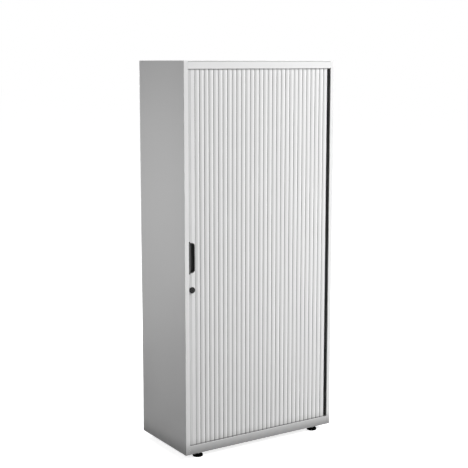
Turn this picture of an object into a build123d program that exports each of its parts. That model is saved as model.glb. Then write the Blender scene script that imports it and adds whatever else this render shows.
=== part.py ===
from build123d import *
from math import atan2, cos, pi, sin
import os

# Overall size of the cabinet, with the feet screwed right in
width = 900.0
depth = 450.0
height = 1980.0

# Sheet steel of the carcass
sheet = 1.0
fold_radius = 2.0
tight_fold_radius = 1.6
foot_gap = 28.0
top_lip = 4.5
left_stile_width = 24.0
right_stile_width = 21.3
left_stile_return = 40.5
right_stile_return = 7.0
rear_flange = 18.0
back_inset = 3.0
top_rail_height = 35.5
bottom_rail_height = 45.0
rail_top_fold = 10.0
rail_lip = 5.0
rail_underfold = 18.5
floor_above_rail_foot = 30.4
soffit_above_rail_edge = 16.0

# Tambour curtain
slat_count = 30
slat_pitch = 26.68
slat_groove = 2.05
slat_thickness = 7.6
slat_crown = 2.0
slat_edge_radius = 0.6
slat_recess = 8.0
bead_radius = 1.4
bead_inset = 3.4
bead_depth = 4.6
neck_thickness = 1.2
hook_clearance = 0.35
slat_end_gap = 0.7
slat_channel_width = 12.0
slat_channel_depth = 4.8

# Lead slat, which carries the handle and the lock
lead_width = 39.35
lead_depth = 20.0
lead_facet_width = 19.5
lead_facet_drop = 5.0
lead_return = 4.0
lead_gap = 1.0
lead_end_gap = 1.6
runner_plug_height = 14.0
runner_clearance = 0.4

# Guide track for the ends of the slats
track_groove = 8.6
track_wall = 1.3
track_height = 11.0
track_bend_radius = 36.0
track_skin_gap = 0.7
track_tail_x = 60.0

# Linings that close the curtain's way off from the shelves
lining_inset = 45.5
lining_set_back = 32.5
lining_fold = 12.0
false_back_inset = 24.5

# Finger pull
handle_height = 162.0
handle_right_height = 150.0
handle_left_reach = 17.7
handle_right_reach = 16.5
handle_strip = 9.5
handle_proud = 1.9
handle_depth = 16.5
handle_wall = 1.7
handle_centre_z = 1024.5
handle_end_radius = 2.5
handle_corner_radius = 17.0
handle_seat = 1.7
handle_fit = 0.2
ramp_depth = 6.0
ramp_width = 11.0
handle_shelf = 3.0

# Lock
lock_centre_z = 864.5
lock_flange_radius = 15.5
lock_flange_thickness = 5.2
lock_flange_edge = 1.4
lock_body_radius = 11.0
lock_body_depth = 20.5
barrel_radius = 9.0
running_clearance = 0.06
barrel_proud = 6.0
key_slot_width = 2.0
key_slot_length = 9.0
key_slot_depth = 3.0
hook_plate = 2.0
hook_behind_lead = 1.0
hook_arm_low = -11.0
hook_arm_high = -4.0
hook_reach = 27.5
hook_nose_inner = 24.0
hook_nose_high = 7.0

# Keep for the hook, behind the left stile's return
keep_thickness = 2.0
keep_slot_low = -24.0
keep_slot_high = -2.5
keep_slot_width = 7.0
keep_margin = 6.0

# Shelves and what carries them
shelf_count = 4
shelf_lip = 25.0
shelf_hem = 10.0
shelf_set_back = 44.5
shelf_back_gap = 8.0
shelf_side_gap = 1.5
upright_depth = 12.0
upright_width = 30.0
upright_sheet = 1.2
upright_fold_radius = 1.7
upright_inset = 78.5
slot_pitch = 38.0
slot_width = 3.0
slot_height = 18.0
clip_width = 20.0
clip_ledge = 10.0
clip_plate = 1.5
clip_height = 16.0
clip_tongue_width = 2.2
clip_tongue_height = 15.0
clip_tongue_reach = 4.0

# Black strip that closes the gap beside the right stile
seal_width = 11.3
seal_thickness = 1.4
seal_edge_radius = 0.6
seal_recess = 5.0
seal_end_gap = 7.0
seal_leg = 1.8

# Levelling feet
foot_side_inset = 91.0
foot_set_back = 39.5
foot_pad_radius = 26.5
foot_sole_radius = 25.5
foot_bevel_high = 1.2
foot_edge_high = 8.0
foot_dome_radius = 24.5
foot_dome_edge = 10.0
foot_hub_foot_radius = 10.0
foot_hub_foot = 12.0
foot_hub_radius = 8.0
foot_hub_top = 19.0
foot_stud_radius = 5.0
foot_stud_top = 50.0
foot_stud_chamfer = 1.0
bush_radius = 12.0
bush_low = 31.0

# Places that follow from the sizes above
left = -width / 2
right = width / 2
front = -depth / 2
back = depth / 2
carcass_top = height - top_lip
rail_foot = foot_gap
rail_top_z = foot_gap + bottom_rail_height
floor_top = rail_foot + floor_above_rail_foot
top_rail_low = carcass_top - top_rail_height
soffit_low = top_rail_low + soffit_above_rail_edge
opening_left = left + left_stile_width
opening_right = right - right_stile_width
lead_left = opening_left + lead_gap
curtain_left = lead_left + lead_width + slat_groove
slat_front = front + slat_recess
slat_middle = slat_front + slat_thickness / 2
slat_low = floor_top + track_wall + slat_end_gap
slat_high = soffit_low - track_wall - slat_end_gap
lead_low = floor_top + track_height + lead_end_gap
lead_high = soffit_low - track_height - lead_end_gap
track_half = track_groove / 2 + track_wall
back_panel_front = back - 2 * sheet
skin_inside = right - sheet
lock_x = lead_left + lead_facet_width
hook_front = slat_front + lead_depth + hook_behind_lead
lining_x = right - lining_inset
false_back_y = back - false_back_inset
upright_rows = (front + upright_inset, back - upright_inset)


def block(x0, x1, y0, y1, z0, z1):
    """A box between two corners."""
    size = Box(x1 - x0, y1 - y0, z1 - z0)
    return Pos((x0 + x1) / 2, (y0 + y1) / 2, (z0 + z1) / 2) * size


def folded_strip(points, thickness, radius):
    """The section of a sheet folded along the points, with its thickness on the left of the run."""
    legs = list(zip(points, points[1:]))
    angles = [atan2(b[1] - a[1], b[0] - a[0]) for a, b in legs]
    inner = []
    near_radii = []
    far_radii = []
    for i, (x, y) in enumerate(points):
        before = angles[max(i - 1, 0)]
        after = angles[min(i, len(angles) - 1)]
        turn = (after - before + pi) % (2 * pi) - pi
        middle = before + turn / 2 + pi / 2
        reach = thickness / cos(turn / 2)
        inner.append((x + reach * cos(middle), y + reach * sin(middle)))
        if 0 < i < len(points) - 1:
            turns_left = turn > 0
            near_radii.append(radius if turns_left else radius - thickness)
            far_radii.append(radius - thickness if turns_left else radius)
    near = FilletPolyline(*points, radius=near_radii)
    far = FilletPolyline(*inner, radius=far_radii)
    ends = [Line(points[0], inner[0]), Line(points[-1], inner[-1])]
    return make_face(Curve() + [near, far, *ends])


def along_z(face, z0, z1):
    """A plan section stood up between two heights."""
    return Pos(0, 0, z0) * extrude(face, z1 - z0)


def along_x(face, x0, x1):
    """A section drawn in Y and Z, run from left to right."""
    return Pos(x0, 0, 0) * extrude(Plane.YZ * face, x1 - x0)


def along_y(face, y0, y1):
    """A face drawn in X and Z, run from front to back."""
    return Pos(0, y1, 0) * extrude(Plane.XZ * face, y1 - y0)


# Outer shell

def left_side():
    """One sheet folded into the side, the left stile and the stile's deep return."""
    run = [
        (left + rear_flange, back),
        (left, back),
        (left, front),
        (opening_left, front),
        (opening_left, front + left_stile_return),
    ]
    side = along_z(folded_strip(run, sheet, fold_radius), rail_foot, carcass_top)
    return side - keep_slot(opening_left - 2 * sheet, opening_left + sheet)


def right_side():
    """The same on the right, with a short return, because the curtain passes behind it."""
    run = [
        (opening_right, front + right_stile_return),
        (opening_right, front),
        (right, front),
        (right, back),
        (right - rear_flange, back),
    ]
    return along_z(folded_strip(run, sheet, fold_radius), rail_foot, carcass_top)


def top_tray():
    """A shallow tray that lies over both sides, flush with the front."""
    tray = block(left, right, front, back, carcass_top, height)
    rounded = tray.edges().filter_by(Axis.Z) + tray.faces().sort_by(Axis.Z)[-1].edges()
    tray = fillet(rounded, fold_radius)
    hollow = block(
        left + sheet, right - sheet, front + sheet, back - sheet, carcass_top, height - sheet
    )
    return tray - hollow


def soffit():
    """Top rail and soffit: one sheet folded from the top down the front, under the lip, up and back."""
    run = [
        (front + rail_top_fold, carcass_top),
        (front, carcass_top),
        (front, top_rail_low),
        (front + rail_lip, top_rail_low),
        (front + rail_lip, soffit_low),
        (back_panel_front, soffit_low),
    ]
    rail = along_x(hemmed_rail(run), opening_left, opening_right)
    return rail + left_wing(soffit_low) + right_wing(soffit_low)


def floor_pan():
    """Bottom rail and floor: one sheet folded up the front, over the lip, down and back."""
    run = [
        (back_panel_front, floor_top),
        (front + rail_lip, floor_top),
        (front + rail_lip, rail_top_z),
        (front, rail_top_z),
        (front, rail_foot),
        (front + rail_underfold, rail_foot),
    ]
    rail = along_x(hemmed_rail(run), opening_left, opening_right)
    return rail + left_wing(floor_top - sheet) + right_wing(floor_top - sheet)


def hemmed_rail(run):
    """A rail's section. Its folds are tighter than the shell's, because its lip is narrow."""
    return folded_strip(run, sheet, tight_fold_radius)


def left_wing(z):
    """The part of a floor or soffit that reaches the left skin behind the stile's return."""
    wing_front = front + left_stile_return + hook_clearance
    return block(left + sheet, opening_left, wing_front, back_panel_front, z, z + sheet)


def right_wing(z):
    """The part of a floor or soffit that reaches the right skin, under or over the track."""
    wing_front = front + right_stile_return
    return block(opening_right, skin_inside, wing_front, back_panel_front, z, z + sheet)


def back_sheet():
    """A flat sheet inside the rear flanges."""
    return block(
        left + back_inset, right - back_inset, back_panel_front, back - sheet,
        rail_foot + sheet, carcass_top - sheet,
    )


# Inner linings

def right_lining():
    """The wall between the shelves and the curtain's way down the right side."""
    run = [
        (lining_x + lining_fold, front + lining_set_back),
        (lining_x, front + lining_set_back),
        (lining_x, false_back_y),
    ]
    return along_z(folded_strip(run[::-1], sheet, tight_fold_radius), floor_top, soffit_low)


def inner_back():
    """The wall between the shelves and the curtain's way across the back."""
    return block(
        left + sheet, lining_x + sheet, false_back_y, false_back_y + sheet, floor_top, soffit_low
    )


# Guide track

def track_path():
    """Middle line of the groove: across the front, round the corner, down the side, across the back."""
    side_x = skin_inside - track_skin_gap - track_half
    rear_y = back_panel_front - track_skin_gap - track_half
    return FilletPolyline(
        (opening_left, slat_middle),
        (side_x, slat_middle),
        (side_x, rear_y),
        (track_tail_x, rear_y),
        radius=track_bend_radius,
    )


def track(z_open, z_web):
    """A channel that follows the path, open towards z_open and closed at z_web."""
    path = track_path()
    up = 1 if z_open > z_web else -1
    low = min(z_open, z_web)
    groove_low = low + track_wall if up > 0 else low
    outside = sweep_flat(path, track_half, low, track_height)
    groove = sweep_flat(path, track_groove / 2, groove_low, track_height - track_wall)
    return outside - groove


def sweep_flat(path, half, z0, tall):
    """A band of even width along a flat path, stood up to a height."""
    start = path @ 0
    section = Plane(origin=start, x_dir=(0, 1, 0), z_dir=(1, 0, 0)) * Rectangle(2 * half, tall)
    return Pos(0, 0, z0 + tall / 2) * sweep(section, path=path)


def stop_buffers():
    """Rubber blocks in both ends of both grooves, where the curtain comes to rest."""
    path_end = track_path() @ 1
    half = track_groove / 2 - hook_clearance
    blocks = []
    for z0 in (floor_top + track_wall, soffit_low - track_height):
        z1 = z0 + track_height - track_wall
        closed = block(
            opening_left, lead_left - hook_clearance, slat_middle - half, slat_middle + half, z0, z1
        )
        opened = block(
            path_end.X, path_end.X + slat_thickness, path_end.Y - half, path_end.Y + half, z0, z1
        )
        blocks += [closed, opened]
    return blocks


# Curtain

def slat():
    """One slat at the curtain's left edge: crowned front, socket on the left, bead on the right."""
    body_width = slat_pitch - slat_groove
    crown = ThreePointArc((0, slat_crown), (body_width / 2, 0), (body_width, slat_crown))
    rear = Polyline(
        (body_width, slat_crown), (body_width, slat_thickness), (0, slat_thickness), (0, slat_crown)
    )
    body = make_face(Curve() + [crown, rear])
    body = fillet(body.vertices(), slat_edge_radius)
    channel = Pos(body_width / 2 + bead_inset / 2, slat_thickness - slat_channel_depth / 2) * Rectangle(
        slat_channel_width, slat_channel_depth
    )
    socket = Pos(bead_inset, bead_depth) * Circle(bead_radius + hook_clearance)
    mouth = Pos(bead_inset / 2, bead_depth) * Rectangle(bead_inset, neck_thickness + 2 * hook_clearance)
    bead = Pos(slat_pitch + bead_inset, bead_depth) * Circle(bead_radius)
    neck_length = slat_pitch + bead_inset - body_width
    neck = Pos(body_width + neck_length / 2, bead_depth) * Rectangle(neck_length, neck_thickness)
    section = body - channel - socket - mouth + neck + bead
    return Pos(curtain_left, slat_front, 0) * along_z(section, slat_low, slat_high)


def lead_plan():
    """Plan of the lead slat's sheet: two front facets, deep sides and short returns."""
    x0 = lead_left
    x1 = lead_left + lead_width
    y0 = slat_front
    y1 = slat_front + lead_depth
    return [
        (x0 + lead_return, y1),
        (x0, y1),
        (x0, y0 + lead_facet_drop),
        (x0 + lead_facet_width, y0),
        (x1, y0),
        (x1, y1),
        (x1 - lead_return, y1),
    ]


def lead_slat():
    """The folded lead slat, with its window, its lock hole and the bead that pulls the curtain."""
    run = lead_plan()
    bar = along_z(folded_strip(run, sheet, tight_fold_radius), lead_low, lead_high)
    window = along_y(
        handle_outline(handle_seat), slat_front - sheet, slat_front + lead_facet_drop + 3 * sheet
    )
    lock_hole = lock_cylinder(
        lock_body_radius + handle_fit, slat_front - sheet, slat_front + lead_depth - 2 * sheet
    )
    x1 = lead_left + lead_width
    bead_x = curtain_left + bead_inset
    neck = block(
        x1, bead_x, slat_front + bead_depth - neck_thickness / 2,
        slat_front + bead_depth + neck_thickness / 2, lead_low, lead_high,
    )
    bead = Pos(bead_x, slat_front + bead_depth) * Circle(bead_radius)
    return bar - window - lock_hole + neck + along_z(bead, lead_low, lead_high)


def lead_runners():
    """Nylon shoes that plug into the lead slat's ends and run in the grooves."""
    half = track_groove / 2 - hook_clearance
    x0 = lead_left + 2 * sheet
    x1 = lead_left + lead_width - 2 * sheet
    plug_front = slat_front + lead_facet_drop + 2 * sheet
    plug_back = slat_front + lead_depth - 2 * sheet
    shoes = []
    for shoe_end, lead_end, inward in ((slat_low, lead_low, 1), (slat_high, lead_high, -1)):
        plug_end = lead_end + inward * runner_plug_height
        plug_face = lead_end - inward * runner_clearance
        shoe = block(
            x0, x1, slat_middle - half, slat_middle + half,
            min(shoe_end, plug_face), max(shoe_end, plug_face),
        )
        neck = block(
            x0, x1, plug_front, slat_middle + half, min(plug_face, plug_end), max(plug_face, plug_end)
        )
        plug = block(
            x0, x1, plug_front, plug_back, min(plug_face, plug_end), max(plug_face, plug_end)
        )
        shoes.append(shoe + neck + plug)
    return shoes


# Finger pull

def handle_sides(inset):
    """Left and right edges of the finger pull, brought in by inset."""
    return lock_x - handle_left_reach + inset, lock_x + handle_right_reach - inset


def handle_outline(inset):
    """Front outline of the cup, brought in by inset: square on the left, round corners on the right."""
    x0, x1 = handle_sides(inset)
    part = Pos((x0 + x1) / 2, handle_centre_z) * Rectangle(x1 - x0, handle_right_height - 2 * inset)
    corners = part.vertices().group_by(Axis.X)[-1]
    return fillet(corners, handle_corner_radius - inset)


def facet_y(x, lift):
    """Front of the lead slat at x, brought forward by lift."""
    on_facet = max(lock_x - x, 0) / lead_facet_width
    return slat_front + lead_facet_drop * on_facet - lift


def pull_plan(x0, x1, back0, back1):
    """Plan of a layer on both facets, from x0 to x1, with its back at back0 on the left and back1."""
    return make_face(Polyline(
        (x0, facet_y(x0, handle_proud)),
        (lock_x, slat_front - handle_proud),
        (x1, slat_front - handle_proud),
        (x1, back1),
        (lock_x, back1),
        (x0, back0),
        (x0, facet_y(x0, handle_proud)),
    ))


def finger_pull():
    """A moulded cup: a flange on both facets, a ramp on the left and a deep pocket on the right."""
    x0, x1 = handle_sides(0)
    low = handle_centre_z - handle_height / 2
    high = handle_centre_z + handle_height / 2
    strip = Pos(x0 + handle_strip / 2, handle_centre_z) * RectangleRounded(
        handle_strip, handle_height, handle_end_radius
    )
    flange = along_z(pull_plan(x0, x1, facet_y(x0, 0), slat_front), low, high)
    flange = flange & along_y(handle_outline(0) + strip, front, back)
    body_inset = handle_seat + handle_fit
    in0, in1 = handle_sides(body_inset)
    bottom = slat_front + handle_depth
    body = along_z(pull_plan(in0, in1, bottom, bottom), low, high)
    body = body & along_y(handle_outline(body_inset), front, back)
    return flange + body - finger_space(body_inset + handle_wall)


def finger_space(inset):
    """The hollow of the finger pull: it ramps down from the left and drops into the pocket."""
    lip_x, wall_x = handle_sides(inset)
    ramp_foot = lip_x + ramp_width
    shallow = slat_front + lead_facet_drop - handle_proud
    deep = slat_front + handle_depth - handle_wall
    plan = make_face(Polyline(
        (lip_x, front),
        (lip_x, facet_y(lip_x, handle_proud)),
        (ramp_foot, shallow + ramp_depth - handle_shelf),
        (ramp_foot + handle_shelf, deep),
        (wall_x, deep),
        (wall_x, front),
        (lip_x, front),
    ))
    low = handle_centre_z - handle_height / 2
    high = handle_centre_z + handle_height / 2
    return along_z(plan, low, high) & along_y(handle_outline(inset), front - sheet, back)


# Lock

def lock_cylinder(radius, y0, y1):
    """A cylinder on the lock's axis."""
    return along_y(Pos(lock_x, lock_centre_z) * Circle(radius), y0, y1)


def lock_housing():
    """Round flange and body that hold the barrel in the lead slat."""
    flange_front = slat_front - lock_flange_thickness
    flange = lock_cylinder(lock_flange_radius, flange_front, slat_front)
    flange = fillet(flange.edges().filter_by(GeomType.CIRCLE).sort_by(Axis.Y)[0], lock_flange_edge)
    body = lock_cylinder(lock_body_radius, slat_front, flange_front + lock_body_depth)
    bore = lock_cylinder(barrel_radius + running_clearance, front, back)
    return flange + body - bore


def lock_barrel():
    """The part that the key turns, with its upright key slot."""
    barrel = lock_cylinder(barrel_radius, slat_front - barrel_proud, hook_front)
    face_y = slat_front - barrel_proud
    slot = block(
        lock_x - key_slot_width / 2, lock_x + key_slot_width / 2, face_y, face_y + key_slot_depth,
        lock_centre_z - key_slot_length / 2, lock_centre_z + key_slot_length / 2,
    )
    return barrel - slot


def lock_hook():
    """A claw that hangs down when unlocked. A quarter turn swings it up behind the keep."""
    hub = Circle(barrel_radius)
    arm_low = Pos(-hook_reach / 2, (hook_arm_low + hook_arm_high) / 2) * Rectangle(
        hook_reach, hook_arm_high - hook_arm_low
    )
    nose_width = hook_reach - hook_nose_inner
    nose = Pos(-(hook_reach + hook_nose_inner) / 2, (hook_arm_low + hook_nose_high) / 2) * Rectangle(
        nose_width, hook_nose_high - hook_arm_low
    )
    hanging = Rot(0, 0, 90) * (hub + arm_low + nose)
    return along_y(Pos(lock_x, lock_centre_z) * hanging, hook_front, hook_front + hook_plate)


def keep_slot(x0, x1):
    """The slot that the claw swings through."""
    middle = hook_front + hook_plate / 2
    return block(
        x0, x1, middle - keep_slot_width / 2, middle + keep_slot_width / 2,
        lock_centre_z + keep_slot_low, lock_centre_z + keep_slot_high,
    )


def keep():
    """A steel plate behind the left stile's return, with the same slot."""
    x1 = opening_left - sheet
    x0 = x1 - keep_thickness
    middle = hook_front + hook_plate / 2
    half = keep_slot_width / 2 + keep_margin / 2
    plate = block(
        x0, x1, middle - half, middle + half,
        lock_centre_z + keep_slot_low - keep_margin, lock_centre_z + keep_slot_high + keep_margin,
    )
    return plate - keep_slot(x0, x1)


# Shelves

def shelf_levels():
    """Heights of the shelves' top faces, evenly spaced and on the uprights' slots."""
    step = slot_pitch * round((soffit_low - floor_top) / (shelf_count + 1) / slot_pitch)
    return [floor_top + step * i for i in range(1, shelf_count + 1)]


def shelf(level):
    """A shelf folded from one sheet, with a hemmed front lip and a plain back lip."""
    y0 = front + shelf_set_back
    y1 = false_back_y - shelf_back_gap
    run = [
        (y0 + shelf_hem, level - shelf_lip),
        (y0, level - shelf_lip),
        (y0, level),
        (y1, level),
        (y1, level - shelf_lip),
    ]
    section = folded_strip(run[::-1], sheet, tight_fold_radius)
    x0 = left + sheet + upright_depth + shelf_side_gap
    x1 = lining_x - upright_depth - shelf_side_gap
    return along_x(section, x0, x1)


def slot_heights():
    """Middles of the slots in an uprights' face."""
    drop = sheet + clip_height / 2
    count = int((soffit_low - floor_top) / slot_pitch) - 1
    return [floor_top - drop + slot_pitch * i for i in range(1, count + 1)]


def uprights():
    """Four slotted channels: two on the left skin, two on the right lining."""
    channels = []
    for wall_x, inward in ((left + sheet, 1), (lining_x, -1)):
        for y in upright_rows:
            face_x = wall_x + inward * upright_depth
            run = [
                (wall_x, y - upright_width / 2),
                (face_x, y - upright_width / 2),
                (face_x, y + upright_width / 2),
                (wall_x, y + upright_width / 2),
            ]
            ordered = run if inward > 0 else run[::-1]
            section = folded_strip(ordered, upright_sheet, upright_fold_radius)
            channel = along_z(section, floor_top, soffit_low)
            slots = [
                block(
                    face_x - 2 * upright_sheet, face_x + 2 * upright_sheet,
                    y - slot_width / 2, y + slot_width / 2, z - slot_height / 2, z + slot_height / 2,
                )
                for z in slot_heights()
            ]
            channels.append(channel - slots)
    return channels


def shelf_clips():
    """A clip at each corner of each shelf: a plate, a ledge under the shelf and a tongue in a slot."""
    clips = []
    for level in shelf_levels():
        top = level - sheet
        middle = top - clip_height / 2
        for wall_x, inward in ((left + sheet, 1), (lining_x, -1)):
            face_x = wall_x + inward * upright_depth
            for y in upright_rows:
                plate = side_block(face_x, inward, 0, clip_plate, y, clip_width, top - clip_height, top)
                ledge = side_block(face_x, inward, 0, clip_ledge, y, clip_width, top - clip_plate, top)
                tongue = side_block(
                    face_x, inward, -clip_tongue_reach, 0, y, clip_tongue_width,
                    middle - clip_tongue_height / 2, middle + clip_tongue_height / 2,
                )
                clips.append(plate + ledge + tongue)
    return clips


def side_block(face_x, inward, near, far, y, wide, z0, z1):
    """A block that stands out of an upright's face towards the shelf, from near to far."""
    ends = sorted((face_x + inward * near, face_x + inward * far))
    return block(ends[0], ends[1], y - wide / 2, y + wide / 2, z0, z1)


# Strip beside the right stile

def jamb_seal():
    """A thin black leaf in front of the curtain. Its leg is held on the right stile's return."""
    y0 = front + seal_recess
    z0 = rail_top_z + seal_end_gap
    z1 = top_rail_low - seal_end_gap
    leaf = block(opening_right - seal_width, opening_right, y0, y0 + seal_thickness, z0, z1)
    leaf = fillet(leaf.edges().filter_by(Axis.Z).sort_by(Axis.X)[:2], seal_edge_radius)
    leg = block(opening_right - seal_leg, opening_right, y0, front + right_stile_return, z0, z1)
    return leaf + leg


# Feet

def foot_places():
    """Names and plan positions of the four feet."""
    x = width / 2 - foot_side_inset
    y = depth / 2 - foot_set_back
    return {
        "foot_front_left": (-x, -y),
        "foot_front_right": (x, -y),
        "foot_rear_left": (-x, y),
        "foot_rear_right": (x, y),
    }


def foot(x, y):
    """A domed plastic pad on a threaded stud."""
    section = make_face(Polyline(
        (0, 0),
        (foot_sole_radius, 0),
        (foot_pad_radius, foot_bevel_high),
        (foot_pad_radius, foot_edge_high),
        (foot_dome_radius, foot_dome_edge),
        (foot_hub_foot_radius, foot_hub_foot),
        (foot_hub_radius, foot_hub_top),
        (foot_stud_radius, foot_hub_top),
        (foot_stud_radius, foot_stud_top - foot_stud_chamfer),
        (foot_stud_radius - foot_stud_chamfer, foot_stud_top),
        (0, foot_stud_top),
        (0, 0),
    ))
    return Pos(x, y, 0) * revolve(Plane.XZ * section, Axis.Z)


def foot_bushes():
    """Threaded bosses under the floor, one for each stud."""
    top = floor_top - sheet
    boss = Cylinder(bush_radius, top - bush_low) - Cylinder(
        foot_stud_radius + running_clearance, top - bush_low
    )
    middle = (top + bush_low) / 2
    return [Pos(x, y, middle) * boss for x, y in foot_places().values()]


def write(name, shape):
    """Writes one piece, or a group of like pieces, to its own file."""
    solid = Compound(children=shape) if isinstance(shape, list) else shape
    export_step(solid, f"parts/{name}.step")


os.makedirs("parts", exist_ok=True)
write("side_left", left_side())
write("side_right", right_side())
write("top_panel", top_tray())
write("soffit_panel", soffit())
write("base_panel", floor_pan())
write("back_panel", back_sheet())
write("lining_right", right_lining())
write("false_back", inner_back())
write("track_bottom", track(floor_top + track_height, floor_top))
write("track_top", track(soffit_low - track_height, soffit_low))
write("stop_buffers", stop_buffers())
write("lead_slat", lead_slat())
write("lead_runners", lead_runners())
first_slat = slat()
for i in range(slat_count):
    write(f"slat_{i + 1:02d}", Pos(slat_pitch * i, 0, 0) * first_slat)
write("handle_cup", finger_pull())
write("lock_housing", lock_housing())
write("lock_barrel", lock_barrel())
write("lock_hook", lock_hook())
write("striker_plate", keep())
for i, level in enumerate(shelf_levels()):
    write(f"shelf_{i + 1}", shelf(level))
write("shelf_uprights", uprights())
write("shelf_clips", shelf_clips())
write("jamb_seal", jamb_seal())
for name, (x, y) in foot_places().items():
    write(name, foot(x, y))
write("foot_bushes", foot_bushes())
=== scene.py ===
from math import cos, pi, radians, sin

import bmesh
import bpy
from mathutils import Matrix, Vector


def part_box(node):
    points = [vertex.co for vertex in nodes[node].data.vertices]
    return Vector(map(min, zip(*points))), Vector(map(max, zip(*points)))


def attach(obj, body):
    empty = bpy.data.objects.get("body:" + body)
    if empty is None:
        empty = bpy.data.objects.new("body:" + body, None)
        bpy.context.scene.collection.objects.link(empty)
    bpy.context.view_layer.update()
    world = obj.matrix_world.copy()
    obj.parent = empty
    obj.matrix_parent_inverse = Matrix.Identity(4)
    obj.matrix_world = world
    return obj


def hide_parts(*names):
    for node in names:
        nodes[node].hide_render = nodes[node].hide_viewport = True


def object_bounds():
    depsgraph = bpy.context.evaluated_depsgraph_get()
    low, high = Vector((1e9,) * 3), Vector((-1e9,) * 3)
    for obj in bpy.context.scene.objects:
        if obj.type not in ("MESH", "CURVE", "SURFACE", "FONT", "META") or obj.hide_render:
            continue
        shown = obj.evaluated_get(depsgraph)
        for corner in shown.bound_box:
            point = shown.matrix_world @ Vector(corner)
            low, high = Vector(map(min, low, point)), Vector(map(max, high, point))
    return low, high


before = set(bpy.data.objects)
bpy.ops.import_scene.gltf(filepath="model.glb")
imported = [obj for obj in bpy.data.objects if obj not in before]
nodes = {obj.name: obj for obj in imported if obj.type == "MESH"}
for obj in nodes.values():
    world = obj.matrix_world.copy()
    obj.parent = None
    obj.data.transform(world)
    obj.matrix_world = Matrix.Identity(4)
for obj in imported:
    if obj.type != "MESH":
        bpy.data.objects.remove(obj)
cad_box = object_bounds()
scene = bpy.context.scene
scene.view_settings.view_transform = "Standard"
MM = 0.001

# The camera stands in front of the cabinet and well to its left, at the height of its top, and looks
# slightly down. The small shift keeps the photograph's framing, with both feet near the lower edge.
camera_place = (-2.994, -4.625, 1.976)
camera_yaw = 32.73
camera_pitch = 7.91
camera_focal_pixels = 1063.0
frame_pixels = 468
framing_shift = 25.0
camera = bpy.data.objects.new("camera", bpy.data.cameras.new("camera"))
camera.location = camera_place
camera.rotation_euler = (radians(90 - camera_pitch), 0, radians(-camera_yaw))
camera.data.lens = camera_focal_pixels * camera.data.sensor_width / frame_pixels
camera.data.shift_y = -framing_shift / frame_pixels
scene.collection.objects.link(camera)
scene.camera = camera

# The studio: a pale floor with a faint shadow, which whitens with distance as a paper sweep does,
# and white all round. To light that bounces, the room is dark and the floor is darkest beside the
# cabinet, because the photograph's cabinet darkens towards its base.
floor_white = 0.86
floor_glow_near = 0.80
floor_glow_far = 1.0
floor_near = 1.2
floor_far = 4.0
floor_bounce = 0.08
floor_bounce_under = 0.02
bounce_reach = 0.50
room_light = 0.0
floor_reach = 60.0


def worked(tree, operation, first, second):
    """One step of arithmetic between an amount and a second amount or plain number."""
    step = tree.nodes.new("ShaderNodeMath")
    step.operation = operation
    tree.links.new(first, step.inputs[0])
    if isinstance(second, (int, float)):
        step.inputs[1].default_value = second
    else:
        tree.links.new(second, step.inputs[1])
    return step.outputs[0]


def seen_directly(tree):
    """One where a ray comes from the eye, a mirror or glass, and nought for light that bounces."""
    path = tree.nodes.new("ShaderNodeLightPath").outputs
    either = worked(tree, "MAXIMUM", path["Is Camera Ray"], path["Is Glossy Ray"])
    return worked(tree, "MAXIMUM", either, path["Is Transmission Ray"])


def distance_beyond(tree, half_size):
    """How far a point of the floor lies outside a box of that half size."""
    place = tree.nodes.new("ShaderNodeTexCoord").outputs["Object"]
    for step, amount in (("ABSOLUTE", None), ("SUBTRACT", half_size), ("MAXIMUM", (0, 0, 0))):
        change = tree.nodes.new("ShaderNodeVectorMath")
        change.operation = step
        tree.links.new(place, change.inputs[0])
        if amount is not None:
            change.inputs[1].default_value = amount
        place = change.outputs["Vector"]
    reach = tree.nodes.new("ShaderNodeVectorMath")
    reach.operation = "LENGTH"
    tree.links.new(place, reach.inputs[0])
    return reach.outputs["Value"]


def spread(tree, value, low, high, to_low, to_high):
    """Carries a value that runs from low to high over to another range, and holds it at the ends."""
    scale = tree.nodes.new("ShaderNodeMapRange")
    scale.interpolation_type = "SMOOTHSTEP"
    scale.inputs["From Min"].default_value = low
    scale.inputs["From Max"].default_value = high
    scale.inputs["To Min"].default_value = to_low
    scale.inputs["To Max"].default_value = to_high
    tree.links.new(value, scale.inputs["Value"])
    return scale.outputs["Result"]


studio_paint = bpy.data.materials.new("studio_floor")
studio_paint.use_nodes = True
tree = studio_paint.node_tree
tree.nodes.clear()
pale = tree.nodes.new("ShaderNodeBsdfDiffuse")
pale.inputs["Color"].default_value = (floor_white, floor_white, floor_white, 1)
glow = tree.nodes.new("ShaderNodeEmission")
beyond = distance_beyond(tree, cad_box[1])
whitening = spread(tree, beyond, floor_near, floor_far, floor_glow_near, floor_glow_far)
tree.links.new(whitening, glow.inputs["Strength"])
lit = tree.nodes.new("ShaderNodeAddShader")
tree.links.new(pale.outputs[0], lit.inputs[0])
tree.links.new(glow.outputs[0], lit.inputs[1])
dim = tree.nodes.new("ShaderNodeBsdfDiffuse")
brightening = spread(tree, beyond, 0, bounce_reach, floor_bounce_under, floor_bounce)
tree.links.new(brightening, dim.inputs["Color"])
choice = tree.nodes.new("ShaderNodeMixShader")
tree.links.new(seen_directly(tree), choice.inputs[0])
tree.links.new(dim.outputs[0], choice.inputs[1])
tree.links.new(lit.outputs[0], choice.inputs[2])
output = tree.nodes.new("ShaderNodeOutputMaterial")
tree.links.new(choice.outputs[0], output.inputs["Surface"])

sheet = bpy.data.meshes.new("studio_floor")
sheet.from_pydata(
    [(-floor_reach, -floor_reach, 0), (floor_reach, -floor_reach, 0),
     (floor_reach, floor_reach, 0), (-floor_reach, floor_reach, 0)],
    [], [(0, 1, 2, 3)],
)
sheet.materials.append(studio_paint)
floor = bpy.data.objects.new("studio_floor", sheet)
scene.collection.objects.link(floor)

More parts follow.
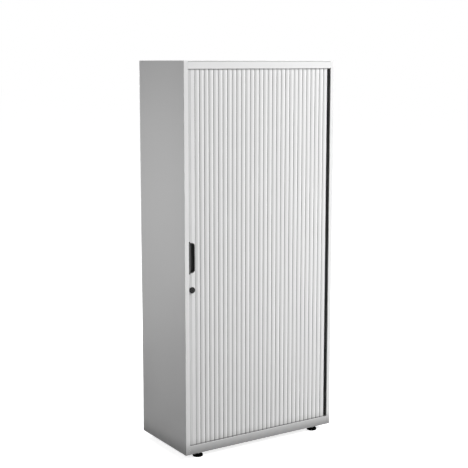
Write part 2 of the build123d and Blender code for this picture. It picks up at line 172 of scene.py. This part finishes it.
world = bpy.data.worlds.new("room")
world.use_nodes = True
tree = world.node_tree
tree.nodes.clear()
white = tree.nodes.new("ShaderNodeBackground")
white.inputs["Strength"].default_value = 1
soft = tree.nodes.new("ShaderNodeBackground")
soft.inputs["Strength"].default_value = room_light
for background in (white, soft):
    background.inputs["Color"].default_value = (1, 1, 1, 1)
choice = tree.nodes.new("ShaderNodeMixShader")
tree.links.new(seen_directly(tree), choice.inputs[0])
tree.links.new(soft.outputs[0], choice.inputs[1])
tree.links.new(white.outputs[0], choice.inputs[2])
output = tree.nodes.new("ShaderNodeOutputWorld")
tree.links.new(choice.outputs[0], output.inputs["Surface"])
scene.world = world


def soft_lamp(name, place, aim, size, power):
    """A square lamp with a wide, even face."""
    lamp = bpy.data.objects.new(name, bpy.data.lights.new(name, "AREA"))
    lamp.data.size = size
    lamp.data.energy = power
    lamp.location = place
    lamp.rotation_euler = (Vector(aim) - Vector(place)).to_track_quat("-Z", "Y").to_euler()
    scene.collection.objects.link(lamp)


# Two lamps stand in front and high on the right, and a weak one is low. The rest lift the left side,
# the back and the top.
soft_lamp("key_lamp", place=(4.9, -5.1, 5.1), aim=(0.0, -0.2, 1.1), size=1.9, power=440)
soft_lamp("key_side_lamp", place=(3.75, -2.37, 3.6), aim=(0.0, -0.2, 1.1), size=1.2, power=116)
soft_lamp("low_lamp", place=(1.6, -3.4, 0.6), aim=(0.2, -0.2, 0.6), size=1.2, power=33)
soft_lamp("left_lamp", place=(-1.9, 0.0, 1.3), aim=(-0.45, 0.0, 1.25), size=0.8, power=8.3)
soft_lamp("left_high_lamp", place=(-1.8, -0.3, 1.7), aim=(-0.45, 0.0, 1.5), size=0.8, power=1.8)
soft_lamp("rear_lamp", place=(0.0, 3.6, 2.1), aim=(0.0, 0.2, 1.0), size=0.8, power=70)
soft_lamp("top_lamp", place=(0.0, 0.6, 4.4), aim=(0.0, 0.0, 1.98), size=1.6, power=22)

# Sides: each is one sheet of cold-rolled steel, folded into the skin, the front stile and the rear
# flange. The shell is spot-welded together, powder coated satin light grey and baked, which leaves
# a faint orange peel. The thin skins are never quite flat, and the welds show on the rear flanges.
steel_grey = (0.80, 0.80, 0.80)
steel_roughness = 0.42
peel_size = 1.6 * MM
peel_height = 0.025 * MM
cloud_size = 0.22
coat_tone_swing = 0.015
coat_gloss_swing = 0.05
patch_edge_low = 0.3
patch_edge_high = 0.7
skin_wave_size = 0.55
skin_wave_height = 0.10 * MM
weld_pitch = 75 * MM
weld_radius = 2.6 * MM
weld_rim = 0.52 * MM
weld_inset = 9 * MM
weld_depth = 0.30 * MM
flange_front = cad_box[1].y - 0.5 * MM
base_shade_low = 8 * MM
base_shade_high = 116 * MM
base_shade_cover = 0.78
base_shade_tone = 0.05
base_shade_patch = 0.05
base_shade_thinnest = 0.9


def bare_finish(name, metal=0.0, specular=0.5):
    """A new finish, its shader and the place on the piece that its patterns are laid out by."""
    made = bpy.data.materials.new(name)
    made.use_nodes = True
    shader = made.node_tree.nodes["Principled BSDF"]
    shader.inputs["Metallic"].default_value = metal
    shader.inputs["Specular IOR Level"].default_value = specular
    place = made.node_tree.nodes.new("ShaderNodeTexCoord")
    return made, shader, place.outputs["Object"]


def clouds(tree, place, size, detail=3.0):
    """Soft patches of about that size, from nought to one."""
    texture = tree.nodes.new("ShaderNodeTexNoise")
    texture.inputs["Scale"].default_value = 1 / size
    texture.inputs["Detail"].default_value = detail
    tree.links.new(place, texture.inputs["Vector"])
    return texture.outputs["Fac"]


def stretched(tree, place, amounts):
    """The place, drawn out along one way so that a pattern on it runs in lines."""
    change = tree.nodes.new("ShaderNodeVectorMath")
    change.operation = "MULTIPLY"
    change.inputs[1].default_value = amounts
    tree.links.new(place, change.inputs[0])
    return change.outputs["Vector"]


def tinted(tree, amount, colour, darkest, lightest, shader):
    """Runs the colour from its darkest to its lightest share by the amount."""
    mix = tree.nodes.new("ShaderNodeMixRGB")
    mix.inputs["Color1"].default_value = (*(c * darkest for c in colour), 1)
    mix.inputs["Color2"].default_value = (*(c * lightest for c in colour), 1)
    tree.links.new(amount, mix.inputs["Fac"])
    tree.links.new(mix.outputs["Color"], shader.inputs["Base Color"])


def uneven_gloss(tree, amount, roughness, swing, shader):
    """Lets the roughness wander to both sides of its middle value, by the amount."""
    rough = spread(tree, amount, patch_edge_low, patch_edge_high, roughness - swing, roughness + swing)
    tree.links.new(rough, shader.inputs["Roughness"])


def relief(tree, amount, height, shader):
    """Raises the surface by the amount, on top of any relief it has already."""
    bump = tree.nodes.new("ShaderNodeBump")
    bump.inputs["Strength"].default_value = 1
    bump.inputs["Distance"].default_value = height
    tree.links.new(amount, bump.inputs["Height"])
    for link in shader.inputs["Normal"].links:
        tree.links.new(link.from_socket, bump.inputs["Normal"])
    tree.links.new(bump.outputs["Normal"], shader.inputs["Normal"])


def powder_coat(name, wave_height):
    """Baked powder: an orange peel, slow patches of tone and gloss, and the wave of the sheet below."""
    made, shader, place = bare_finish(name)
    tree = made.node_tree
    patches = clouds(tree, place, cloud_size)
    tinted(tree, patches, steel_grey, 1 - coat_tone_swing, 1 + coat_tone_swing, shader)
    uneven_gloss(tree, patches, steel_roughness, coat_gloss_swing, shader)
    relief(tree, clouds(tree, place, skin_wave_size, detail=0.0), wave_height, shader)
    relief(tree, clouds(tree, place, peel_size, detail=2.0), peel_height, shader)
    return made


def along(finish, axis):
    """Where a point of the piece lies along that axis."""
    tree = finish.node_tree
    apart = tree.nodes.new("ShaderNodeSeparateXYZ")
    tree.links.new(tree.nodes["Texture Coordinate"].outputs["Object"], apart.inputs[0])
    return apart.outputs[axis]


def band(finish, axis, low, high, to_low=0, to_high=1):
    """An amount that changes along one axis, between low and high."""
    return spread(finish.node_tree, along(finish, axis), low, high, to_low, to_high)


def both(finish, first, second):
    """The product of two amounts."""
    return worked(finish.node_tree, "MULTIPLY", first, second)


def paint_shade(finish, amount, tone):
    """Covers the clean colour with painted shade of that tone, by the amount."""
    tree = finish.node_tree
    shader = tree.nodes["Principled BSDF"]
    cover = tree.nodes.new("ShaderNodeMixRGB")
    tree.links.new(amount, cover.inputs["Fac"])
    tree.links.new(shader.inputs["Base Color"].links[0].from_socket, cover.inputs["Color1"])
    cover.inputs["Color2"].default_value = (tone, tone, tone, 1)
    tree.links.new(cover.outputs["Color"], shader.inputs["Base Color"])


def shade_painted_at_base(finish):
    """Painted shade darkens the lowest hand's width towards the floor, a little unevenly."""
    tree = finish.node_tree
    place = tree.nodes["Texture Coordinate"].outputs["Object"]
    patches = clouds(tree, place, base_shade_patch)
    evenness = spread(tree, patches, patch_edge_low, patch_edge_high, base_shade_thinnest, 1)
    cover = band(finish, "Z", base_shade_low, base_shade_high, base_shade_cover, 0)
    paint_shade(finish, both(finish, cover, evenness), base_shade_tone)


def add_welds(finish):
    """A column of small round dimples down each rear flange, where the back sheet is welded on."""
    tree = finish.node_tree
    shader = tree.nodes["Principled BSDF"]
    from_middle = worked(tree, "ABSOLUTE", along(finish, "X"), 0)
    sideways = worked(tree, "SUBTRACT", from_middle, cad_box[1].x - weld_inset)
    in_pitch = worked(tree, "MODULO", along(finish, "Z"), weld_pitch)
    upwards = worked(tree, "SUBTRACT", in_pitch, weld_pitch / 2)
    joined = tree.nodes.new("ShaderNodeCombineXYZ")
    tree.links.new(sideways, joined.inputs["X"])
    tree.links.new(upwards, joined.inputs["Z"])
    reach = tree.nodes.new("ShaderNodeVectorMath")
    reach.operation = "LENGTH"
    tree.links.new(joined.outputs[0], reach.inputs[0])
    flat = weld_radius - weld_rim
    around_weld = spread(tree, reach.outputs["Value"], flat, weld_radius + weld_rim, 0, 1)
    not_on_flange = worked(tree, "LESS_THAN", along(finish, "Y"), flange_front)
    relief(tree, worked(tree, "MAXIMUM", around_weld, not_on_flange), weld_depth, shader)


def dress(node, finish):
    """Gives a carried-over piece its finish."""
    slots = nodes[node].material_slots
    for slot in slots:
        slot.material = finish
    if not slots:
        nodes[node].data.materials.append(finish)


side_paint = powder_coat("powder_coat_on_sides", skin_wave_height)
add_welds(side_paint)
# Painted shade darkens the sides towards the floor.
shade_painted_at_base(side_paint)
dress("side_left", side_paint)
dress("side_right", side_paint)

# Floor pan and soffit: each is one folded sheet. The front edge of the floor pan is the bottom rail
# and that of the soffit is the top rail. Both are stiff, so they carry the same coat without a wave.
# Painted shade darkens the bottom rail towards the floor, the fold along its top and the seam under the
# lip of the top.
rail_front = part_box("base_panel")[0].y
rail_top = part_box("base_panel")[1].z
rail_shade_back = rail_front + 7 * MM
rail_shade_end = rail_front + 9 * MM
fold_shade_tone = 0.10
fold_shade_front = rail_front + 1.4 * MM
fold_shade_back = rail_front + 2.6 * MM
fold_shade_low = rail_top - 9 * MM
fold_shade_high = rail_top - 7 * MM
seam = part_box("top_panel")[0].z
seam_shade_tone = 0.04
seam_shade_low = seam - 2.1 * MM
seam_shade_high = seam - 1.3 * MM
floor_paint = powder_coat("powder_coat_on_floor_pan", 0)
# Painted shade on the front of the bottom rail, darkest towards the floor.
shade_on_rail = both(
    floor_paint,
    band(floor_paint, "Y", rail_shade_back, rail_shade_end, 1, 0),
    band(floor_paint, "Z", base_shade_low, base_shade_high, base_shade_cover, 0),
)
paint_shade(floor_paint, shade_on_rail, base_shade_tone)
# Painted shade along the fold at the top of the bottom rail.
shade_on_fold = both(
    floor_paint,
    band(floor_paint, "Y", fold_shade_front, fold_shade_back),
    band(floor_paint, "Z", fold_shade_low, fold_shade_high),
)
paint_shade(floor_paint, shade_on_fold, fold_shade_tone)
dress("base_panel", floor_paint)
soffit_paint = powder_coat("powder_coat_on_soffit", 0)
# Painted shade in the seam under the lip of the top.
paint_shade(soffit_paint, band(soffit_paint, "Z", seam_shade_low, seam_shade_high), seam_shade_tone)
dress("soffit_panel", soffit_paint)

# Top: a shallow tray of the same sheet, pressed down over the sides and the top rail, with the same
# coat. The dark seam under its front lip is painted shade on the soffit.
top_paint = powder_coat("powder_coat_on_top", skin_wave_height)
dress("top_panel", top_paint)

# Back: a flat sheet, welded in front of the rear flanges. With no folds to stiffen it, it waves most.
# Painted shade darkens it in the corners beside the flanges and towards the floor.
back_wave_height = 0.35 * MM
flange_width = 18 * MM
corner_shade_width = 7 * MM
corner_shade_cover = 0.45
corner_shade_tone = 0.2
flange_edge = cad_box[1].x - flange_width
back_paint = powder_coat("powder_coat_on_back", back_wave_height)
shade_painted_at_base(back_paint)
# Painted shade in the corners beside the rear flanges.
for low, high, to_low, to_high in (
    (-flange_edge, corner_shade_width - flange_edge, corner_shade_cover, 0),
    (flange_edge - corner_shade_width, flange_edge, 0, corner_shade_cover),
):
    paint_shade(back_paint, band(back_paint, "X", low, high, to_low, to_high), corner_shade_tone)
dress("back_panel", back_paint)

# Linings: a folded sheet on the right and a flat one at the back, between the floor pan and the
# soffit. They part the curtain's way from the shelves.
lining_paint = powder_coat("powder_coat_on_linings", skin_wave_height)
dress("lining_right", lining_paint)
dress("false_back", lining_paint)

# Guide tracks: moulded nylon strips with one groove, fixed on the floor pan and under the soffit, in
# which the ends of the slats run. The moulding is a little mottled and keeps the grain of its mould.
nylon_grey = (0.55, 0.55, 0.545)
mottle_size = 0.012
mottle_gloss_swing = 0.06


def moulded(name, colour, roughness, specular, grain_size, grain_height, mottle=0.06):
    """A moulded plastic: an even colour with a slight mottle, and the fine grain of its mould."""
    made, shader, place = bare_finish(name, specular=specular)
    tree = made.node_tree
    patches = clouds(tree, place, mottle_size)
    tinted(tree, patches, colour, 1 - mottle, 1 + mottle, shader)
    uneven_gloss(tree, patches, roughness, mottle_gloss_swing, shader)
    grain = tree.nodes.new("ShaderNodeTexVoronoi")
    grain.inputs["Scale"].default_value = 1 / grain_size
    tree.links.new(place, grain.inputs["Vector"])
    relief(tree, grain.outputs["Distance"], grain_height, shader)
    return made


nylon = moulded(
    "grey_nylon", nylon_grey, roughness=0.48, specular=0.4, grain_size=0.9 * MM, grain_height=0.02 * MM
)
dress("track_bottom", nylon)
dress("track_top", nylon)

# Stop buffers: soft black rubber blocks, pushed into the ends of the grooves, which stop the curtain
# softly at both ends of its way. The rubber is dull, with a faint bloom.
rubber_black = (0.022, 0.022, 0.022)
rubber = moulded(
    "black_rubber", rubber_black, roughness=0.82, specular=0.2, grain_size=0.6 * MM,
    grain_height=0.03 * MM, mottle=0.25,
)
dress("stop_buffers", rubber)

# Uprights and clips: slotted channels in the shell's coat, and bright zinc-plated clips hooked into
# their slots. The plate shows small crystals and the fine lines that it was drawn with.
zinc_colour = (0.62, 0.63, 0.65)
zinc_darkest = 0.90
zinc_lightest = 1.08
zinc_smoothest = 0.26
zinc_roughest = 0.42
crystal_size = 2.2 * MM
crystal_edge_low = 0.2
crystal_edge_high = 0.8
drawn_line_width = 0.5 * MM
drawn_line_length = 12.5 * MM
drawn_line_height = 0.01 * MM


def zinc_plate(name):
    """Bright zinc: crystals that differ slightly in tone and gloss, and fine drawn lines."""
    made, shader, place = bare_finish(name, metal=1.0)
    tree = made.node_tree
    crystals = tree.nodes.new("ShaderNodeTexVoronoi")
    crystals.inputs["Scale"].default_value = 1 / crystal_size
    tree.links.new(place, crystals.inputs["Vector"])
    tone = tree.nodes.new("ShaderNodeRGBToBW")
    tree.links.new(crystals.outputs["Color"], tone.inputs[0])
    tinted(tree, tone.outputs[0], zinc_colour, zinc_darkest, zinc_lightest, shader)
    rough = spread(
        tree, tone.outputs[0], crystal_edge_low, crystal_edge_high, zinc_smoothest, zinc_roughest
    )
    tree.links.new(rough, shader.inputs["Roughness"])
    drawn = stretched(tree, place, (1, 1, drawn_line_width / drawn_line_length))
    relief(tree, clouds(tree, drawn, drawn_line_width, detail=1.0), drawn_line_height, shader)
    return made


zinc = zinc_plate("zinc_plate")
upright_paint = powder_coat("powder_coat_on_uprights", 0)
dress("shelf_uprights", upright_paint)
dress("shelf_clips", zinc)

# Shelves: each is one folded sheet with a hemmed front lip, resting on four clips. Boxes and files
# slide over them, so their coat is scuffed in fine lines from front to back.
scuff_width = 3 * MM
scuff_length = 90 * MM
scuff_edge_low = 0.45
scuff_edge_high = 0.75
scuff_polish = 0.14


def scuffed(finish):
    """Fine lines of higher gloss from front to back, where things have been slid in and out."""
    tree = finish.node_tree
    shader = tree.nodes["Principled BSDF"]
    place = tree.nodes["Texture Coordinate"].outputs["Object"]
    drawn = stretched(tree, place, (1, scuff_width / scuff_length, 1))
    lines = clouds(tree, drawn, scuff_width, detail=2.0)
    rough = spread(
        tree, lines, scuff_edge_low, scuff_edge_high, steel_roughness, steel_roughness - scuff_polish
    )
    tree.links.new(rough, shader.inputs["Roughness"])


shelf_paint = powder_coat("powder_coat_on_shelves", skin_wave_height)
scuffed(shelf_paint)
for name in ("shelf_1", "shelf_2", "shelf_3", "shelf_4"):
    dress(name, shelf_paint)

# Keep plate: a zinc-plated steel plate with a slot for the lock's claw, riveted behind the return of
# the left stile. The two rivets have domed heads, in front of the claw's way.
rivet_radius = 2.6 * MM
rivet_height = 1.2 * MM
rivet_inset = 2.9 * MM
rivet_sides = 24
dome_turns = (0, pi / 8, pi / 4, 3 * pi / 8, 0.47 * pi)
fold_angle = 32


def finished(name, shape, finish):
    """Makes the worked shape into a piece, smooth where it is round and sharp where it is folded."""
    shape.normal_update()
    mesh = bpy.data.meshes.new(name)
    shape.to_mesh(mesh)
    shape.free()
    for face in mesh.polygons:
        face.use_smooth = True
    mesh.set_sharp_from_angle(angle=radians(fold_angle))
    mesh.materials.append(finish)
    piece = bpy.data.objects.new(name, mesh)
    scene.collection.objects.link(piece)
    return piece


def skinned(name, shape, rings, finish):
    """Joins each ring of points to the next with faces, closes both ends and makes the piece."""
    sides = len(rings[0])
    for lower, upper in zip(rings, rings[1:]):
        for side in range(sides):
            after = (side + 1) % sides
            shape.faces.new((lower[side], lower[after], upper[after], upper[side]))
    shape.faces.new(rings[0][::-1])
    shape.faces.new(rings[-1])
    return finished(name, shape, finish)


def turned(name, profile, sides, finish, ribs=0, rib_depth=0.0, rib_span=(0.0, 0.0)):
    """A piece turned about its upright axis from (radius, height) pairs, with ribs cut in its rim."""
    shape = bmesh.new()
    rings = []
    for radius, height in profile:
        ring = []
        for side in range(sides):
            turn = 2 * pi * side / sides
            ribbed = rib_span[0] < height < rib_span[1]
            cut = rib_depth * (1 - cos(ribs * turn)) / 2 if ribbed else 0
            reach = radius - cut
            ring.append(shape.verts.new((reach * cos(turn), reach * sin(turn), height)))
        rings.append(ring)
    return skinned(name, shape, rings, finish)


dress("striker_plate", zinc)
keep_low, keep_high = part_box("striker_plate")
for end, height in (("lower", keep_low.z + rivet_inset), ("upper", keep_high.z - rivet_inset)):
    dome = [(rivet_radius * cos(turn), rivet_height * sin(turn)) for turn in dome_turns]
    rivet = turned(f"keep_rivet_{end}", dome, rivet_sides, zinc)
    rivet.location = (keep_low.x, keep_low.y + rivet_inset, height)
    rivet.rotation_euler = (0, -pi / 2, 0)
    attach(rivet, "cabinet")

# Black strip: a thin extruded leaf of soft black plastic, held by the return of the right stile. It
# brushes the curtain and hides its way round the corner. Fine lines run along it.
strip_black = (0.007, 0.007, 0.007)
die_line_width = 0.7 * MM
die_line_length = 600 * MM
die_tone_swing = 0.02
die_gloss_swing = 0.05


def extruded(name, colour, roughness, specular, line_height):
    """An extruded plastic: an even colour, with the fine upright lines that its die leaves."""
    made, shader, place = bare_finish(name, specular=specular)
    tree = made.node_tree
    upright = stretched(tree, place, (1, 1, die_line_width / die_line_length))
    lines = clouds(tree, upright, die_line_width, detail=2.0)
    uneven_gloss(tree, lines, roughness, die_gloss_swing, shader)
    patches = clouds(tree, place, cloud_size)
    tinted(tree, patches, colour, 1 - die_tone_swing, 1 + die_tone_swing, shader)
    relief(tree, lines, line_height, shader)
    return made


strip_plastic = extruded(
    "black_strip_plastic", strip_black, roughness=0.6, specular=0.12, line_height=0.01 * MM
)
dress("jamb_seal", strip_plastic)

# Curtain: thirty extruded slats of light grey plastic. Each hooks over the bead of the one before it,
# which leaves a narrow open groove. Painted shade makes the grooves darker than the faces, and darkens
# the slats' lower ends and their lowest hand's width.
slat_count = 30
curtain_grey = (0.80, 0.80, 0.80)
curtain_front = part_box("lead_slat")[0].y
groove_shade_tone = 0.16
groove_mouth = curtain_front + 2.1 * MM
groove_depth = curtain_front + 3.6 * MM
groove_floor = curtain_front + 4.1 * MM
groove_end = curtain_front + 4.6 * MM
facing_sideways = 0.2
facing_back = 0.6
slat_end_shade_low = rail_top + 1.5 * MM
slat_end_shade_high = rail_top + 5 * MM
slat_end_shade_cover = 0.7
slat_end_shade_tone = 0.15


def painted_groove_shade(finish):
    """Painted shade in a groove: on its floor and low on its walls, but not behind them."""
    tree = finish.node_tree
    apart = tree.nodes.new("ShaderNodeSeparateXYZ")
    tree.links.new(tree.nodes["Texture Coordinate"].outputs["Normal"], apart.inputs[0])
    open_to_front = spread(tree, apart.outputs["Y"], facing_sideways, facing_back, 1, 0)
    past_mouth = band(finish, "Y", groove_mouth, groove_depth)
    above_floor = band(finish, "Y", groove_floor, groove_end, 1, 0)
    return both(finish, both(finish, past_mouth, above_floor), open_to_front)


curtain_plastic = extruded(
    "curtain_plastic", curtain_grey, roughness=0.46, specular=0.35, line_height=0.012 * MM
)
shade_painted_at_base(curtain_plastic)
# Painted shade in the grooves between the slats.
paint_shade(curtain_plastic, painted_groove_shade(curtain_plastic), groove_shade_tone)
# Painted shade on the slats' lower ends, where they run behind the bottom rail.
slat_end_shade = band(curtain_plastic, "Z", slat_end_shade_low, slat_end_shade_high, slat_end_shade_cover, 0)
paint_shade(curtain_plastic, slat_end_shade, slat_end_shade_tone)
for number in range(1, slat_count + 1):
    dress(f"slat_{number:02d}", curtain_plastic)

# Lead slat: a folded steel section in the shell's coat, which carries the pull and the lock. Nylon
# shoes plugged into its ends run in the tracks. Painted shade darkens its neck in the groove beside
# slat 1, its lower end, its lowest hand's width and a band along its closing edge beside the left
# stile.
first_slat_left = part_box("slat_01")[0].x
neck_left = first_slat_left - 4.0 * MM
neck_right = first_slat_left - 2.6 * MM
lead_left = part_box("lead_slat")[0].x
edge_shade_left = lead_left + 5 * MM
edge_shade_right = lead_left + 12 * MM
edge_shade_cover = 0.30
edge_shade_tone = 0.2
lead_paint = powder_coat("powder_coat_on_lead_slat", 0)
shade_painted_at_base(lead_paint)
# Painted shade on the neck, in the groove beside slat 1.
shade_on_neck = both(lead_paint, painted_groove_shade(lead_paint), band(lead_paint, "X", neck_left, neck_right))
paint_shade(lead_paint, shade_on_neck, groove_shade_tone)
slat_end_shade = band(lead_paint, "Z", slat_end_shade_low, slat_end_shade_high, slat_end_shade_cover, 0)
paint_shade(lead_paint, slat_end_shade, slat_end_shade_tone)
# Painted shade along the closing edge, beside the left stile.
shade_beside_stile = band(lead_paint, "X", edge_shade_left, edge_shade_right, edge_shade_cover, 0)
paint_shade(lead_paint, shade_beside_stile, edge_shade_tone)
dress("lead_slat", lead_paint)
dress("lead_runners", nylon)

# Finger pull: one moulding in black plastic with a fine spark-eroded grain. It snaps into the window
# of the lead slat. Its ramp leads the fingertips into a deep pocket, and all its edges are soft.
pull_black = (0.050, 0.050, 0.050)
pull_edge = 0.5 * MM
same_point = 0.005 * MM
flat_angle = 1
sharp_angle = 40
edge_segments = 3


def softened(node, body, finish, radius):
    """Stands for a moulded or machined piece, with its sharp edges rounded off."""
    shape = bmesh.new()
    shape.from_mesh(nodes[node].data)
    bmesh.ops.remove_doubles(shape, verts=shape.verts, dist=same_point)
    bmesh.ops.dissolve_limit(
        shape, angle_limit=radians(flat_angle), verts=shape.verts, edges=shape.edges
    )
    folds = [edge for edge in shape.edges if len(edge.link_faces) == 2]
    sharp = [edge for edge in folds if edge.calc_face_angle() > radians(sharp_angle)]
    bmesh.ops.bevel(
        shape, geom=sharp, offset=radius, segments=edge_segments, profile=0.5, affect="EDGES",
        clamp_overlap=True,
    )
    piece = finished(f"{node}_soft", shape, finish)
    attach(piece, body)
    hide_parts(node)


pull_plastic = moulded(
    "black_pull_plastic", pull_black, roughness=0.5, specular=0.35, grain_size=0.35 * MM,
    grain_height=0.03 * MM,
)
softened("handle_cup", "lead", pull_plastic, pull_edge)

# Lock: a die-cast body with a raised round flange, lacquered black, and the barrel that the key turns.
# The claw on the end of the barrel is zinc-plated steel, held by a hexagon-headed screw.
lacquer_black = (0.010, 0.010, 0.010)
lock_edge = 0.3 * MM
washer_radius = 5.75 * MM
washer_thickness = 0.6 * MM
screw_radius = 4.6 * MM
screw_height = 3.0 * MM
screw_bevel_width = 0.6 * MM
screw_bevel_height = 0.4 * MM
hexagon_sides = 6
lacquer = moulded(
    "black_lacquer", lacquer_black, roughness=0.40, specular=0.14, grain_size=0.8 * MM,
    grain_height=0.008 * MM,
)
softened("lock_housing", "lead", lacquer, lock_edge)
softened("lock_barrel", "lock", lacquer, lock_edge)
softened("lock_hook", "lock", zinc, lock_edge)
screw_profile = [
    (washer_radius, 0),
    (washer_radius, washer_thickness),
    (screw_radius, washer_thickness),
    (screw_radius, screw_height - screw_bevel_height),
    (screw_radius - screw_bevel_width, screw_height),
]
hook_screw = turned("hook_screw", screw_profile, hexagon_sides, zinc)
barrel_low, barrel_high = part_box("lock_barrel")
hook_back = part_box("lock_hook")[1].y
barrel_middle = (barrel_low + barrel_high) / 2
hook_screw.location = (barrel_middle.x, hook_back, barrel_middle.z)
hook_screw.rotation_euler = (-pi / 2, 0, 0)
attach(hook_screw, "lock")

# Levelling feet: a black nylon pad with a ribbed rim, moulded round the head of an M10 stud. The
# zinc-plated stud has a hexagon for the spanner and screws up into a threaded bush under the floor.
pad_black = (0.0015, 0.0015, 0.0015)
pad_ribs = 36
pad_sides = 4 * pad_ribs
pad_rib_depth = 0.7 * MM
pad_rib_span = (2.0 * MM, 7.0 * MM)
thread_sides = 24
thread_steps = 8
thread_crest = 5.0 * MM
thread_root = 4.25 * MM
thread_pitch = 1.5 * MM
pad_profile = [
    (20.0, 0.6), (24.6, 0.6), (25.2, 0.0), (25.7, 0.2), (26.3, 0.9), (26.5, 1.6), (26.5, 2.4),
    (26.5, 6.6), (26.5, 7.6), (26.1, 8.4), (25.3, 9.3), (24.2, 10.0), (20.0, 10.7), (15.0, 11.3),
    (12.0, 11.8), (11.2, 12.4), (10.9, 13.2),
]
hexagon_profile = [(8.6, 11.0), (9.2, 11.6), (9.2, 18.2), (8.4, 19.0), (5.0, 19.0)]
stud_low = 18.0 * MM
stud_high = 50.0 * MM


def threaded_rod(name, low, high, finish):
    """A rod with a helical thread, which tapers out at its upper end."""
    shape = bmesh.new()
    steps = int((high - low) / thread_pitch * thread_steps)
    rings = []
    for step in range(steps + 1):
        height = low + (high - low) * step / steps
        ring = []
        for side in range(thread_sides):
            phase = ((height - low) / thread_pitch - side / thread_sides) % 1.0
            ridge = 1 - abs(2 * phase - 1)
            taper = min(1, (high - height) / thread_pitch)
            radius = thread_root + (thread_crest - thread_root) * ridge * taper
            turn = 2 * pi * side / thread_sides
            ring.append(shape.verts.new((radius * cos(turn), radius * sin(turn), height)))
        rings.append(ring)
    return skinned(name, shape, rings, finish)


pad_nylon = moulded(
    "black_pad_nylon", pad_black, roughness=0.6, specular=0.02, grain_size=0.5 * MM,
    grain_height=0.02 * MM,
)
for corner in ("front_left", "front_right", "rear_left", "rear_right"):
    foot_low, foot_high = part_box(f"foot_{corner}")
    middle = ((foot_low.x + foot_high.x) / 2, (foot_low.y + foot_high.y) / 2, 0)
    pad_outline = [(radius * MM, height * MM) for radius, height in pad_profile]
    pad = turned(
        f"foot_pad_{corner}", pad_outline, pad_sides, pad_nylon, pad_ribs, pad_rib_depth, pad_rib_span
    )
    hexagon_outline = [(radius * MM, height * MM) for radius, height in hexagon_profile]
    hexagon = turned(f"foot_hexagon_{corner}", hexagon_outline, hexagon_sides, zinc)
    stud = threaded_rod(f"foot_stud_{corner}", stud_low, stud_high, zinc)
    for piece, slot in (
        (pad, "foot_plastic"),
        (hexagon, "zinc_plated_steel"),
        (stud, "zinc_plated_steel"),
    ):
        piece.location = middle
        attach(piece, f"foot_{corner}")
        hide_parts(f"foot_{corner}")
dress("foot_bushes", zinc)
